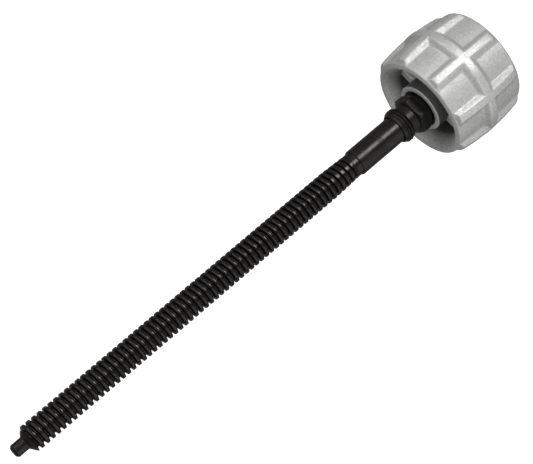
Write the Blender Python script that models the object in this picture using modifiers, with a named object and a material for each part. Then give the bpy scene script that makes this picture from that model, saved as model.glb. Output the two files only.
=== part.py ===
"""Feed screw with a hollow grip knob and a threaded gland that runs on its shank.

The part stands on the closed back of its knob. The origin is the middle of the knob's back
face, and +Z runs up the screw's axis to the dog point at its tip. All sizes are in metres.
"""
import math

import bmesh
import bpy
from mathutils import Matrix

# Clearances
TOUCH_GAP = 0.0003          # between pieces that seat on each other
RUNNING_GAP = 0.0003        # radial, between the shank and what turns or slides on it
DRIVE_GAP = 0.0003          # between the screw's flatted seat and the knob's bore
STEM_GAP = 0.0004           # radial, between the knob screw's stem and what it passes through
WASHER_RIM_GAP = 0.0006     # radial, between the running washers and the hub's recess
BACK_RECESS_GAP = 0.0008    # radial, between the plain washer and the back recess

# Feed screw
SCREW_DIAMETER = 0.013
SCREW_PITCH = 0.003
THREAD_DEPTH = 0.0016
THREAD_CREST = 0.0011       # axial width of the thread's crest
THREAD_ROOT = 0.0009        # axial width of the thread's root
THREAD_LENGTH = 0.1885      # from the relief neck to where the tip's taper starts
CREST_FROM_TIP = 0.0105     # from the dog point's end to a crest on the +X side
SHANK_LENGTH = 0.0455
NECK_DEPTH = 0.0007         # of the relief neck below the shank
NECK_LENGTH = 0.003
TIP_TAPER = 0.0025
DOG_DIAMETER = 0.0062
DOG_LENGTH = 0.00625
DOG_CHAMFER = 0.0010
SEAT_STEP = 0.001           # radial, from the shank down to the seat that drives the knob
SEAT_FLAT_DEPTH = 0.0008
TAP_RUNOUT = 0.0018         # tapped hole past the end of the knob screw

# Grip knob
KNOB_LENGTH = 0.041
KNOB_DIAMETER = 0.058               # over the ribs and the band, at mid length
KNOB_CROWN = 0.0019                 # how far the ribs fall away towards both ends
KNOB_EDGE = 0.0011                  # chamfer on the knob's two outer edges
RIB_COUNT = 8
RIB_HEIGHT = 0.0027                 # over the recessed panels, at mid length
RIB_BASE = 0.0088
RIB_TOP = 0.0042
RIB_SETBACK = 0.0010                # rib ends stop this far inside the knob's two faces
RIB_END_SLOPE = 0.0014
RIB_ANGLE = math.radians(9.5)       # from +X to the nearest rib
PANEL_CROWN = 0.0008                # how far the panels fall away towards both ends
RIM_WIDTH = 0.0023
MOUTH_DEPTH = 0.0070                # flared part of the cavity, behind the rim
MOUTH_FLARE = 0.0049
CAVITY_DRAFT = 0.0015               # from the bottom of the flare to the cavity's floor
BACK_WALL = 0.005
HUB_WALL = 0.0024
HUB_SETBACK = 0.0009                # hub face behind the rim
HUB_RECESS_DEPTH = 0.0037
WEB_COUNT = 4
WEB_THICKNESS = 0.005
WEB_SETBACK = 0.0065                # web faces behind the hub face

# Washers between the gland and the hub
RUNNING_WASHER_WIDTH = 0.0021
BEARING_WASHER_THICKNESS = 0.0008
THRUST_WASHER_THICKNESS = 0.0010

# Gland, its walls measured from its bore
GLAND_BOSS_WALL = 0.0016
GLAND_BOSS_LENGTH = 0.0028
GLAND_HEX_WALL = 0.00195                # at the middle of a flat
GLAND_HEX_LENGTH = 0.0054
GLAND_HEX_CHAMFER = 0.0009
GLAND_HEX_ANGLE = math.radians(12.0)    # from +X to the nearest flat's normal
GLAND_NECK_WALL = 0.0007
GLAND_NECK_LENGTH = 0.0037
GLAND_THREAD_WALL = 0.0018              # under a crest
GLAND_THREAD_PITCH = 0.0015
GLAND_THREAD_DEPTH = 0.0008
GLAND_THREAD_CREST = 0.0004
GLAND_THREAD_ROOT = 0.0003
GLAND_THREAD_LENGTH = 0.0056
GLAND_LEAD_CHAMFER = 0.0015

# Fixing at the back of the knob
PLAIN_WASHER_DIAMETER = 0.0144
PLAIN_WASHER_THICKNESS = 0.0012
LOCK_WASHER_DIAMETER = 0.0112
LOCK_WASHER_THICKNESS = 0.0014
LOCK_WASHER_SPLIT = 0.0010
STEM_DIAMETER = 0.006
STEM_LENGTH = 0.020
HEAD_DIAMETER = 0.010
HEAD_HEIGHT = 0.006
HEAD_SINK = 0.001                   # the head's end inside the knob's back face
SOCKET_AF = 0.005
SOCKET_DEPTH = 0.003

# Facets around a circle
SCREW_THREAD_STEPS = 12
GLAND_THREAD_STEPS = 16
SHANK_STEPS = 32
KNOB_STEPS = 48
SMALL_STEPS = 24
CROWN_STEPS = 4                     # straight pieces in half the length of a crowned side

CUT_MARGIN = 0.001                  # how far a cutter runs past what it cuts
MERGE = 0.00001

# Diameters that follow from the sizes above
NECK_DIAMETER = SCREW_DIAMETER - 2 * NECK_DEPTH
SEAT_DIAMETER = SCREW_DIAMETER - 2 * SEAT_STEP
SEAT_ACROSS_FLATS = SEAT_DIAMETER - 2 * SEAT_FLAT_DEPTH
RUNNING_BORE = SCREW_DIAMETER + 2 * RUNNING_GAP
RUNNING_WASHER_DIAMETER = RUNNING_BORE + 2 * RUNNING_WASHER_WIDTH
GLAND_BOSS_DIAMETER = RUNNING_BORE + 2 * GLAND_BOSS_WALL
GLAND_HEX_AF = RUNNING_BORE + 2 * GLAND_HEX_WALL
GLAND_NECK_DIAMETER = RUNNING_BORE + 2 * GLAND_NECK_WALL
GLAND_THREAD_DIAMETER = RUNNING_BORE + 2 * GLAND_THREAD_WALL
HUB_RECESS_DIAMETER = RUNNING_WASHER_DIAMETER + 2 * WASHER_RIM_GAP
HUB_DIAMETER = HUB_RECESS_DIAMETER + 2 * HUB_WALL
PANEL_DIAMETER = KNOB_DIAMETER - 2 * (RIB_HEIGHT + PANEL_CROWN)     # at both ends
RIM_INNER_DIAMETER = PANEL_DIAMETER - 2 * RIM_WIDTH
MOUTH_DIAMETER = RIM_INNER_DIAMETER - 2 * MOUTH_FLARE
CAVITY_DIAMETER = MOUTH_DIAMETER - 2 * CAVITY_DRAFT
BACK_RECESS_DIAMETER = PLAIN_WASHER_DIAMETER + 2 * BACK_RECESS_GAP

# Heights along the axis, from the knob's back face
HEAD_Z = HEAD_SINK + HEAD_HEIGHT
LOCK_WASHER_Z = HEAD_Z + TOUCH_GAP
PLAIN_WASHER_Z = LOCK_WASHER_Z + LOCK_WASHER_THICKNESS + TOUCH_GAP
BACK_RECESS_DEPTH = PLAIN_WASHER_Z + PLAIN_WASHER_THICKNESS + TOUCH_GAP
SEAT_END_Z = BACK_RECESS_DEPTH + TOUCH_GAP
TAP_END_Z = HEAD_Z + STEM_LENGTH + TAP_RUNOUT
BAND_Z = KNOB_LENGTH / 2
HUB_FACE_Z = KNOB_LENGTH - HUB_SETBACK
HUB_RECESS_Z = HUB_FACE_Z - HUB_RECESS_DEPTH
SHOULDER_Z = HUB_RECESS_Z + TOUCH_GAP
SHANK_TOP_Z = SHOULDER_Z + SHANK_LENGTH
THREAD_START_Z = SHANK_TOP_Z + NECK_LENGTH
TAPER_Z = THREAD_START_Z + THREAD_LENGTH
DOG_Z = TAPER_Z + TIP_TAPER
TIP_Z = DOG_Z + DOG_LENGTH
BEARING_WASHER_Z = HUB_RECESS_Z + TOUCH_GAP
THRUST_WASHER_Z = BEARING_WASHER_Z + BEARING_WASHER_THICKNESS + TOUCH_GAP
GLAND_Z = THRUST_WASHER_Z + THRUST_WASHER_THICKNESS + TOUCH_GAP


def clear_scene():
    """Remove every object, so that the file holds only this part."""
    for obj in list(bpy.data.objects):
        bpy.data.objects.remove(obj, do_unlink=True)


def new_collection(name):
    """Make a collection and link it to the scene."""
    collection = bpy.data.collections.new(name)
    bpy.context.scene.collection.children.link(collection)
    return collection


def new_material(name, colour, roughness, metallic):
    """Make a material with one Principled shader."""
    material = bpy.data.materials.new(name)
    material.use_nodes = True
    shader = material.node_tree.nodes["Principled BSDF"]
    shader.inputs["Base Color"].default_value = (*colour, 1.0)
    shader.inputs["Roughness"].default_value = roughness
    shader.inputs["Metallic"].default_value = metallic
    return material


def place(name, mesh, collection, height=0.0, turn=0.0):
    """Put a mesh on the axis at a height, turned about +Z."""
    obj = bpy.data.objects.new(name, mesh)
    obj.location = (0.0, 0.0, height)
    obj.rotation_euler = (0.0, 0.0, turn)
    collection.objects.link(obj)
    return obj


def mesh_from(bm, name):
    """Write a bmesh into a new mesh and shade it smooth up to a 35 degree corner."""
    mesh = bpy.data.meshes.new(name)
    bm.to_mesh(mesh)
    bm.free()
    mesh.shade_smooth()
    mesh.set_sharp_from_angle(angle=math.radians(35))
    return mesh


def turned(name, outline, steps, collection, height=0.0, turn=0.0, ring=False):
    """Turn an outline of (radius, height) points about +Z with a Screw modifier.

    The outline starts on top, runs down the outer side and ends below. A ring's outline closes
    on itself; any other starts and ends on the axis.
    """
    mesh = bpy.data.meshes.new(name)
    points = [(radius, 0.0, z) for radius, z in outline]
    edges = [(i, i + 1) for i in range(len(points) - 1)]
    if ring:
        edges.append((len(points) - 1, 0))
    mesh.from_pydata(points, edges, [])
    obj = place(name, mesh, collection, height, turn)
    screw = obj.modifiers.new("turn", "SCREW")
    screw.axis = "Z"
    screw.angle = math.tau
    screw.steps = steps
    screw.render_steps = steps
    screw.use_merge_vertices = True
    screw.merge_threshold = MERGE
    screw.use_smooth_shade = True
    return obj


def washer(name, inner, outer, thickness, collection, height, steps=SMALL_STEPS):
    """Make a flat ring of the given radii, standing on its lower face."""
    outline = [(inner, thickness), (outer, thickness), (outer, 0.0), (inner, 0.0)]
    return turned(name, outline, steps, collection, height, ring=True)


def box(bm, size_x, size_y, size_z, centre):
    """Add a box to a bmesh and return its vertices."""
    made = bmesh.ops.create_cube(bm, size=1.0)["verts"]
    bmesh.ops.scale(bm, vec=(size_x, size_y, size_z), verts=made)
    bmesh.ops.translate(bm, vec=centre, verts=made)
    return made


def prism(name, sides, across_flats, low, high, collection):
    """Make an upright prism whose flats face +X and the other even directions."""
    bm = bmesh.new()
    radius = across_flats / 2 / math.cos(math.pi / sides)
    bmesh.ops.create_cone(bm, cap_ends=True, segments=sides, radius1=radius, radius2=radius,
                          depth=high - low, matrix=Matrix.Translation((0, 0, (low + high) / 2)))
    return place(name, mesh_from(bm, name), collection)


def combine(part, tool, operation):
    """Add, cut or intersect a part with a tool that moves with it and isn't rendered."""
    tool.hide_render = True
    tool.display_type = "WIRE"
    tool.parent = part
    boolean = part.modifiers.new(tool.name, "BOOLEAN")
    boolean.operation = operation
    boolean.object = tool
    boolean.solver = "EXACT"


def helical_rod(name, radius, depth, pitch, crest, root, top_crest, turns, steps):
    """Make the bmesh of a right-hand threaded rod that runs down from its top crest.

    One pitch of the outline is spun up the axis. Neighbouring turns share their edges once
    doubles are merged, and each end closes with a fan of faces to a point on the axis.
    """
    flank = (pitch - crest - root) / 2
    low_crest = top_crest - turns * pitch
    outline = [
        (radius - depth, crest / 2 + flank),
        (radius, crest / 2),
        (radius, -crest / 2),
        (radius - depth, -crest / 2 - flank),
        (radius - depth, crest / 2 + flank - pitch),
    ]
    bm = bmesh.new()
    points = [bm.verts.new((r, 0.0, low_crest + z)) for r, z in outline]
    edges = [bm.edges.new((points[i], points[i + 1])) for i in range(len(points) - 1)]
    bmesh.ops.spin(bm, geom=points + edges, axis=(0, 0, 1), cent=(0, 0, 0), angle=math.tau * turns,
                   steps=steps * turns, dvec=(0, 0, pitch / steps))
    bmesh.ops.remove_doubles(bm, verts=bm.verts, dist=MERGE)
    open_edges = [edge for edge in bm.edges if edge.is_boundary]
    middle = (low_crest + top_crest) / 2
    for below in (True, False):
        ring = [e for e in open_edges if (e.verts[0].co.z < middle) == below]
        heights = [vertex.co.z for edge in ring for vertex in edge.verts]
        hub = bm.verts.new((0.0, 0.0, (min(heights) + max(heights)) / 2))
        for edge in ring:
            bm.faces.new((edge.verts[0], edge.verts[1], hub))
    bmesh.ops.recalc_face_normals(bm, faces=bm.faces)
    return mesh_from(bm, name)


def crowned_side(low, high, end_radius, crown):
    """Points down a crowned side, from high to low: a parabola, crown higher in the middle."""
    points = []
    for step in range(-CROWN_STEPS, CROWN_STEPS + 1):
        share = step / CROWN_STEPS
        z = (low + high) / 2 - share * (high - low) / 2
        points.append((end_radius + crown * (1 - share * share), z))
    return points


def make_feed_screw(parts, cutters):
    """Screw: threaded rod trimmed to length, with a dog point, a neck, a shank and a seat."""
    radius = SCREW_DIAMETER / 2
    root = radius - THREAD_DEPTH
    top_crest = TIP_Z - CREST_FROM_TIP + SCREW_PITCH * math.ceil(CREST_FROM_TIP / SCREW_PITCH)
    turns = math.ceil((top_crest - THREAD_START_Z) / SCREW_PITCH) + 2
    rod = helical_rod("feed_screw", radius, THREAD_DEPTH, SCREW_PITCH, THREAD_CREST, THREAD_ROOT,
                      top_crest, turns, SCREW_THREAD_STEPS)
    screw = place("feed_screw", rod, parts)

    # The thread keeps clear of the trim's side, and the taper runs on inside the dog point.
    trim_radius = radius + TOUCH_GAP
    slope = TIP_TAPER / (radius - DOG_DIAMETER / 2)
    inner = DOG_DIAMETER / 2 - TOUCH_GAP
    trim = [
        (0.0, DOG_Z + slope * TOUCH_GAP),
        (inner, DOG_Z + slope * TOUCH_GAP),
        (trim_radius, TAPER_Z - slope * TOUCH_GAP),
        (trim_radius, THREAD_START_Z + trim_radius - NECK_DIAMETER / 2),
        (NECK_DIAMETER / 2, THREAD_START_Z),
        (0.0, THREAD_START_Z),
    ]
    combine(screw, turned("thread_trim", trim, SHANK_STEPS, cutters), "INTERSECT")

    dog = [
        (0.0, TIP_Z),
        (DOG_DIAMETER / 2 - DOG_CHAMFER, TIP_Z),
        (DOG_DIAMETER / 2, TIP_Z - DOG_CHAMFER),
        (DOG_DIAMETER / 2, TAPER_Z),
        (0.0, TAPER_Z),
    ]
    combine(screw, turned("dog_blank", dog, SHANK_STEPS, cutters), "UNION")

    neck_top = THREAD_START_Z - TOUCH_GAP
    shank = [
        (0.0, neck_top + NECK_DIAMETER / 2),
        (root - 2 * TOUCH_GAP, neck_top + NECK_DIAMETER / 2 - root + 2 * TOUCH_GAP),
        (NECK_DIAMETER / 2, neck_top),
        (NECK_DIAMETER / 2, SHANK_TOP_Z),
        (radius, SHANK_TOP_Z),
        (radius, SHOULDER_Z),
        (SEAT_DIAMETER / 2, SHOULDER_Z),
        (SEAT_DIAMETER / 2, SEAT_END_Z),
        (0.0, SEAT_END_Z),
    ]
    combine(screw, turned("shank_blank", shank, SHANK_STEPS, cutters), "UNION")
    combine(screw, flats("seat_flats", SEAT_ACROSS_FLATS, SEAT_END_Z - CUT_MARGIN, SHOULDER_Z,
                         cutters, RIB_ANGLE), "DIFFERENCE")
    bore_radius = STEM_DIAMETER / 2 + STEM_GAP
    bore = [(0.0, TAP_END_Z + bore_radius), (bore_radius, TAP_END_Z),
            (bore_radius, SEAT_END_Z - CUT_MARGIN), (0.0, SEAT_END_Z - CUT_MARGIN)]
    combine(screw, turned("tapped_bore", bore, SMALL_STEPS, cutters), "DIFFERENCE")
    return screw


def flats(name, across, low, high, collection, turn=0.0):
    """Two boxes that leave a round bar the given distance across its flats."""
    bm = bmesh.new()
    for side in (-1, 1):
        box(bm, SCREW_DIAMETER, SCREW_DIAMETER, high - low,
            (side * (across + SCREW_DIAMETER) / 2, 0.0, (low + high) / 2))
    return place(name, mesh_from(bm, name), collection, turn=turn)


def make_grip_knob(parts, cutters):
    """Knob: a turned shell with hub and band, then its ribs, its webs and the hub's bore."""
    end_radius = PANEL_DIAMETER / 2
    top_radius = KNOB_DIAMETER / 2
    side = crowned_side(KNOB_EDGE, KNOB_LENGTH - KNOB_EDGE, end_radius, PANEL_CROWN)
    mid_floor = end_radius + PANEL_CROWN
    band_low = BAND_Z - RIB_BASE / 2
    band_high = BAND_Z + RIB_BASE / 2
    band = [
        (mid_floor, band_high),
        (top_radius, BAND_Z + RIB_TOP / 2),
        (top_radius, BAND_Z - RIB_TOP / 2),
        (mid_floor, band_low),
    ]
    above = [point for point in side if point[1] > band_high]
    below = [point for point in side if point[1] < band_low]
    front = [
        (0.0, HUB_RECESS_Z),
        (HUB_RECESS_DIAMETER / 2, HUB_RECESS_Z),
        (HUB_RECESS_DIAMETER / 2, HUB_FACE_Z),
        (HUB_DIAMETER / 2, HUB_FACE_Z),
        (HUB_DIAMETER / 2, BACK_WALL),
        (CAVITY_DIAMETER / 2, BACK_WALL),
        (MOUTH_DIAMETER / 2, KNOB_LENGTH - MOUTH_DEPTH),
        (RIM_INNER_DIAMETER / 2, KNOB_LENGTH),
        (end_radius - KNOB_EDGE, KNOB_LENGTH),
    ]
    back = [
        (end_radius - KNOB_EDGE, 0.0),
        (BACK_RECESS_DIAMETER / 2, 0.0),
        (BACK_RECESS_DIAMETER / 2, BACK_RECESS_DEPTH),
        (0.0, BACK_RECESS_DEPTH),
    ]
    knob = turned("grip_knob", front + above + band + below + back, KNOB_STEPS, parts,
                  turn=RIB_ANGLE)
    combine(knob, make_ribs(cutters), "UNION")
    combine(knob, make_webs(cutters), "UNION")

    bore_radius = SEAT_DIAMETER / 2 + DRIVE_GAP
    low = BACK_RECESS_DEPTH - CUT_MARGIN
    high = HUB_RECESS_Z + CUT_MARGIN
    bore = turned("hub_bore", [(0.0, high), (bore_radius, high), (bore_radius, low), (0.0, low)],
                  SMALL_STEPS, cutters)
    keep = flats("bore_flats", SEAT_ACROSS_FLATS + 2 * DRIVE_GAP, low - CUT_MARGIN,
                 high + CUT_MARGIN, cutters)
    combine(bore, keep, "DIFFERENCE")
    combine(knob, bore, "DIFFERENCE")
    return knob


def make_ribs(cutters):
    """Ribs: bars that narrow outwards, trimmed to the crowned side and to sloped ends."""
    inner = PANEL_DIAMETER / 2 - RIB_END_SLOPE
    outer = KNOB_DIAMETER / 2 + CUT_MARGIN
    floor = PANEL_DIAMETER / 2 + PANEL_CROWN
    narrowing = (RIB_BASE - RIB_TOP) / (KNOB_DIAMETER / 2 - floor)
    bm = bmesh.new()
    for index in range(RIB_COUNT):
        bar = box(bm, outer - inner, 1.0, KNOB_LENGTH, ((inner + outer) / 2, 0, KNOB_LENGTH / 2))
        for vertex in bar:
            vertex.co.y *= RIB_BASE - narrowing * (vertex.co.x - floor)
        turn = Matrix.Rotation(math.tau * index / RIB_COUNT, 4, "Z")
        bmesh.ops.transform(bm, matrix=turn, verts=bar)
    ribs = place("ribs", mesh_from(bm, "ribs"), cutters)

    low = RIB_SETBACK + RIB_END_SLOPE
    high = KNOB_LENGTH - RIB_SETBACK - RIB_END_SLOPE
    crown = crowned_side(low, high, KNOB_DIAMETER / 2 - KNOB_CROWN, KNOB_CROWN)
    inner_end = inner - CUT_MARGIN
    drop = KNOB_DIAMETER / 2 - KNOB_CROWN - inner
    outline = [(inner_end, high + drop), *crown, (inner_end, low - drop)]
    end_faces = [(0.0, outline[0][1]), *outline, (0.0, outline[-1][1])]
    combine(ribs, turned("rib_crown", end_faces, KNOB_STEPS, cutters), "INTERSECT")
    return ribs


def make_webs(cutters):
    """Webs: plates that join the hub to the cavity's wall and floor."""
    inner = HUB_DIAMETER / 2 - CUT_MARGIN
    outer = CAVITY_DIAMETER / 2 + 2 * CUT_MARGIN
    high = HUB_FACE_Z - WEB_SETBACK
    low = BACK_WALL - CUT_MARGIN
    bm = bmesh.new()
    for index in range(WEB_COUNT):
        web = box(bm, outer - inner, WEB_THICKNESS, high - low,
                  ((inner + outer) / 2, 0.0, (low + high) / 2))
        turn = Matrix.Rotation(math.tau * index / WEB_COUNT, 4, "Z")
        bmesh.ops.transform(bm, matrix=turn, verts=web)
    return place("webs", mesh_from(bm, "webs"), cutters)


def make_gland(parts, cutters):
    """Gland: an external thread, a relief neck, a hexagon and a rear boss, on a plain bore."""
    hex_low = GLAND_BOSS_LENGTH
    hex_high = hex_low + GLAND_HEX_LENGTH
    thread_low = hex_high + GLAND_NECK_LENGTH
    top = thread_low + GLAND_THREAD_LENGTH
    radius = GLAND_THREAD_DIAMETER / 2
    core = radius - GLAND_THREAD_DEPTH

    turns = math.ceil(GLAND_THREAD_LENGTH / GLAND_THREAD_PITCH) + 3
    top_crest = top + 1.5 * GLAND_THREAD_PITCH
    rod = helical_rod("gland_bushing", radius, GLAND_THREAD_DEPTH, GLAND_THREAD_PITCH,
                      GLAND_THREAD_CREST, GLAND_THREAD_ROOT, top_crest, turns, GLAND_THREAD_STEPS)
    gland = place("gland_bushing", rod, parts, GLAND_Z, GLAND_HEX_ANGLE)
    trim_radius = radius + TOUCH_GAP
    trim = [
        (0.0, top),
        (radius - GLAND_LEAD_CHAMFER, top),
        (trim_radius, top - GLAND_LEAD_CHAMFER - TOUCH_GAP),
        (trim_radius, thread_low + trim_radius - core),
        (core - TOUCH_GAP, thread_low - TOUCH_GAP),
        (0.0, thread_low - TOUCH_GAP),
    ]
    combine(gland, turned("gland_trim", trim, SHANK_STEPS, cutters), "INTERSECT")

    boss = GLAND_BOSS_DIAMETER / 2
    neck = GLAND_NECK_DIAMETER / 2
    blank = [
        (0.0, thread_low + TOUCH_GAP),
        (neck, thread_low + TOUCH_GAP),
        (neck, hex_low + TOUCH_GAP),
        (boss, hex_low + TOUCH_GAP),
        (boss, 0.0),
        (0.0, 0.0),
    ]
    combine(gland, turned("gland_blank", blank, SHANK_STEPS, cutters), "UNION")

    hexagon = prism("gland_hex", 6, GLAND_HEX_AF, hex_low, hex_high, cutters)
    flat = GLAND_HEX_AF / 2 - TOUCH_GAP
    corner = GLAND_HEX_AF / 2 + 2 * GLAND_HEX_CHAMFER
    rounding = (corner - flat) / 2
    chamfer = [
        (0.0, hex_high + CUT_MARGIN),
        (flat - 2 * CUT_MARGIN, hex_high + CUT_MARGIN),
        (corner, hex_high - rounding),
        (corner, hex_low + rounding),
        (flat - 2 * CUT_MARGIN, hex_low - CUT_MARGIN),
        (0.0, hex_low - CUT_MARGIN),
    ]
    combine(hexagon, turned("hex_chamfer", chamfer, SHANK_STEPS, cutters), "INTERSECT")
    combine(gland, hexagon, "UNION")

    bore_radius = RUNNING_BORE / 2
    bore = [(0.0, top + CUT_MARGIN), (bore_radius, top + CUT_MARGIN),
            (bore_radius, -CUT_MARGIN), (0.0, -CUT_MARGIN)]
    combine(gland, turned("gland_bore", bore, SHANK_STEPS, cutters), "DIFFERENCE")
    return gland


def make_running_washers(parts):
    """The two washers that turn in the hub's recess, between the hub and the gland."""
    inner = RUNNING_BORE / 2
    outer = RUNNING_WASHER_DIAMETER / 2
    bearing = washer("bearing_washer", inner, outer, BEARING_WASHER_THICKNESS, parts,
                     BEARING_WASHER_Z, SHANK_STEPS)
    thrust = washer("thrust_washer", inner, outer, THRUST_WASHER_THICKNESS, parts,
                    THRUST_WASHER_Z, SHANK_STEPS)
    return bearing, thrust


def make_knob_fixing(parts, cutters):
    """The plain washer, the split lock washer and the socket screw that hold the knob on."""
    inner = STEM_DIAMETER / 2 + STEM_GAP
    plain = washer("plain_washer", inner, PLAIN_WASHER_DIAMETER / 2, PLAIN_WASHER_THICKNESS,
                   parts, PLAIN_WASHER_Z)
    lock = washer("lock_washer", inner, LOCK_WASHER_DIAMETER / 2, LOCK_WASHER_THICKNESS, parts,
                  LOCK_WASHER_Z)
    bm = bmesh.new()
    box(bm, LOCK_WASHER_DIAMETER, LOCK_WASHER_SPLIT, 2 * LOCK_WASHER_THICKNESS,
        (LOCK_WASHER_DIAMETER / 2, 0.0, LOCK_WASHER_THICKNESS / 2))
    combine(lock, place("washer_split", mesh_from(bm, "washer_split"), cutters), "DIFFERENCE")

    chamfer = STEM_DIAMETER / 12
    outline = [
        (0.0, STEM_LENGTH),
        (STEM_DIAMETER / 2 - chamfer, STEM_LENGTH),
        (STEM_DIAMETER / 2, STEM_LENGTH - chamfer),
        (STEM_DIAMETER / 2, 0.0),
        (HEAD_DIAMETER / 2, 0.0),
        (HEAD_DIAMETER / 2, chamfer - HEAD_HEIGHT),
        (HEAD_DIAMETER / 2 - chamfer, -HEAD_HEIGHT),
        (0.0, -HEAD_HEIGHT),
    ]
    stem = turned("knob_screw", outline, SMALL_STEPS, parts, HEAD_Z)
    socket = prism("hex_socket", 6, SOCKET_AF, -HEAD_HEIGHT - CUT_MARGIN,
                   SOCKET_DEPTH - HEAD_HEIGHT, cutters)
    combine(stem, socket, "DIFFERENCE")
    return plain, lock, stem


def main():
    """Build every piece and give each its own material."""
    clear_scene()
    parts = new_collection("knobbed_feed_screw")
    cutters = new_collection("cutters")
    screw = make_feed_screw(parts, cutters)
    knob = make_grip_knob(parts, cutters)
    gland = make_gland(parts, cutters)
    bearing, thrust = make_running_washers(parts)
    plain, lock, stem = make_knob_fixing(parts, cutters)
    finishes = {
        screw: ((0.020, 0.020, 0.021), 0.36, 0.85),
        knob: ((0.56, 0.56, 0.56), 0.42, 0.90),
        gland: ((0.024, 0.024, 0.024), 0.42, 0.80),
        bearing: ((0.50, 0.33, 0.14), 0.35, 1.00),
        thrust: ((0.030, 0.030, 0.031), 0.40, 0.85),
        plain: ((0.52, 0.52, 0.53), 0.33, 1.00),
        lock: ((0.48, 0.48, 0.49), 0.36, 1.00),
        stem: ((0.035, 0.035, 0.037), 0.38, 0.85),
    }
    for obj, (colour, roughness, metallic) in finishes.items():
        obj.data.materials.append(new_material(obj.name, colour, roughness, metallic))


main()
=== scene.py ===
"""Fine surfaces and finishes for the knobbed feed screw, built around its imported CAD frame.

Sizes inside the classes are in millimetres, in the frame's own axes: +Z runs up the screw from
the knob's back face to the dog point. Meshes are written in metres.
"""
from __future__ import annotations

import logging
import math
from dataclasses import dataclass, field
from enum import Enum
from typing import Any, Sequence

import bmesh
import bpy
import numpy as np
from mathutils import Matrix, Vector


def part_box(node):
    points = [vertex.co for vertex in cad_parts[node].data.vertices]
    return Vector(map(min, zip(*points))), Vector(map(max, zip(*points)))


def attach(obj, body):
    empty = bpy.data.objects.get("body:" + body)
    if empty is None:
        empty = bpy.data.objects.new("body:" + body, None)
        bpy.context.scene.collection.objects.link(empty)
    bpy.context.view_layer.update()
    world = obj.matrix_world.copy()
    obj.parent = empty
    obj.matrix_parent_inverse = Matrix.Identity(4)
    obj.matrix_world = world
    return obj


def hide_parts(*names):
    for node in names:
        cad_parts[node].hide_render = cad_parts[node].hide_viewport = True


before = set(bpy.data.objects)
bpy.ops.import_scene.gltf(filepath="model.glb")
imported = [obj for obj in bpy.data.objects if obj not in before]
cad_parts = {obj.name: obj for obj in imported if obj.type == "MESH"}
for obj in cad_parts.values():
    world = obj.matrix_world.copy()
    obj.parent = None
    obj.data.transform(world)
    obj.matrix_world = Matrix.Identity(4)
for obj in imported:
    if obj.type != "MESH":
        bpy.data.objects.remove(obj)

MM = 0.001
WELD = 2e-7
SAME = 1e-6
MOST_OF_SIDE = 0.49
TAU = math.tau
WHITE = (1.0, 1.0, 1.0, 1.0)
Colour = tuple[float, float, float]
LOG = logging.getLogger("knobbed_feed_screw")


# --- Surfaces ---

def knee(x: np.ndarray, k: float) -> np.ndarray:
    """Zero below -k, x above k, and the parabola (x + k)^2 / 4k between them."""
    return np.clip(x + k, 0.0, 2 * k) ** 2 / (4 * k) + np.maximum(x - k, 0.0)


def soft_ramp(t: np.ndarray, k: float) -> np.ndarray:
    """Ramp from 0 at t = 0 to 1 at t = 1, its corners rounded over k: knee(t) - knee(t - 1)."""
    return knee(t, k) - knee(t - 1.0, k)


def soft_max(a: np.ndarray, b: np.ndarray, k: float) -> np.ndarray:
    """The larger of a and b, rounded where they cross: b + knee(a - b)."""
    return b + knee(a - b, k)


def wrapped(angle: np.ndarray, period: float) -> np.ndarray:
    """Angle brought to within half a period of zero."""
    return (angle + period / 2) % period - period / 2


def polygon_radius(angle: np.ndarray, sides: int, apothem: float) -> np.ndarray:
    """Radius of a regular polygon with a flat at angle 0: apothem / cos(angle to nearest flat)."""
    return apothem / np.cos(wrapped(angle, TAU / sides))


def flatted(angle: np.ndarray, radius: float, flat: float) -> np.ndarray:
    """Radius of a round bar cut by two flats: the smaller of radius and flat / |cos angle|."""
    return np.minimum(radius, flat / np.maximum(np.abs(np.cos(angle)), flat / (2 * radius)))


def filleted(outline: Sequence[tuple[float, float, float]], steps: int = 4) -> np.ndarray:
    """Round the corners of an outline.

    Each corner with a radius becomes the curve (1-t)^2 A + 2t(1-t) P + t^2 B, where A and B lie
    that far from the corner P along its two sides.

    Args:
        outline: (radius, height, rounding) for each corner, in order.
        steps: straight pieces in each rounding.

    Returns:
        The rounded outline as (radius, height) rows.
    """
    points = np.array([(radius, height) for radius, height, _ in outline])
    rows: list[np.ndarray] = []
    t = np.linspace(0.0, 1.0, steps + 1)[:, None]
    for i, (_, _, rounding) in enumerate(outline):
        here = points[i]
        if rounding <= 0 or i in (0, len(points) - 1):
            rows.append(here[None])
            continue
        ends = []
        for side in (points[i - 1] - here, points[i + 1] - here):
            length = np.linalg.norm(side)
            ends.append(here + side / length * min(rounding, MOST_OF_SIDE * length))
        rows.append((1 - t) ** 2 * ends[0] + 2 * t * (1 - t) * here + t ** 2 * ends[1])
    return np.concatenate(rows)


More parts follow.
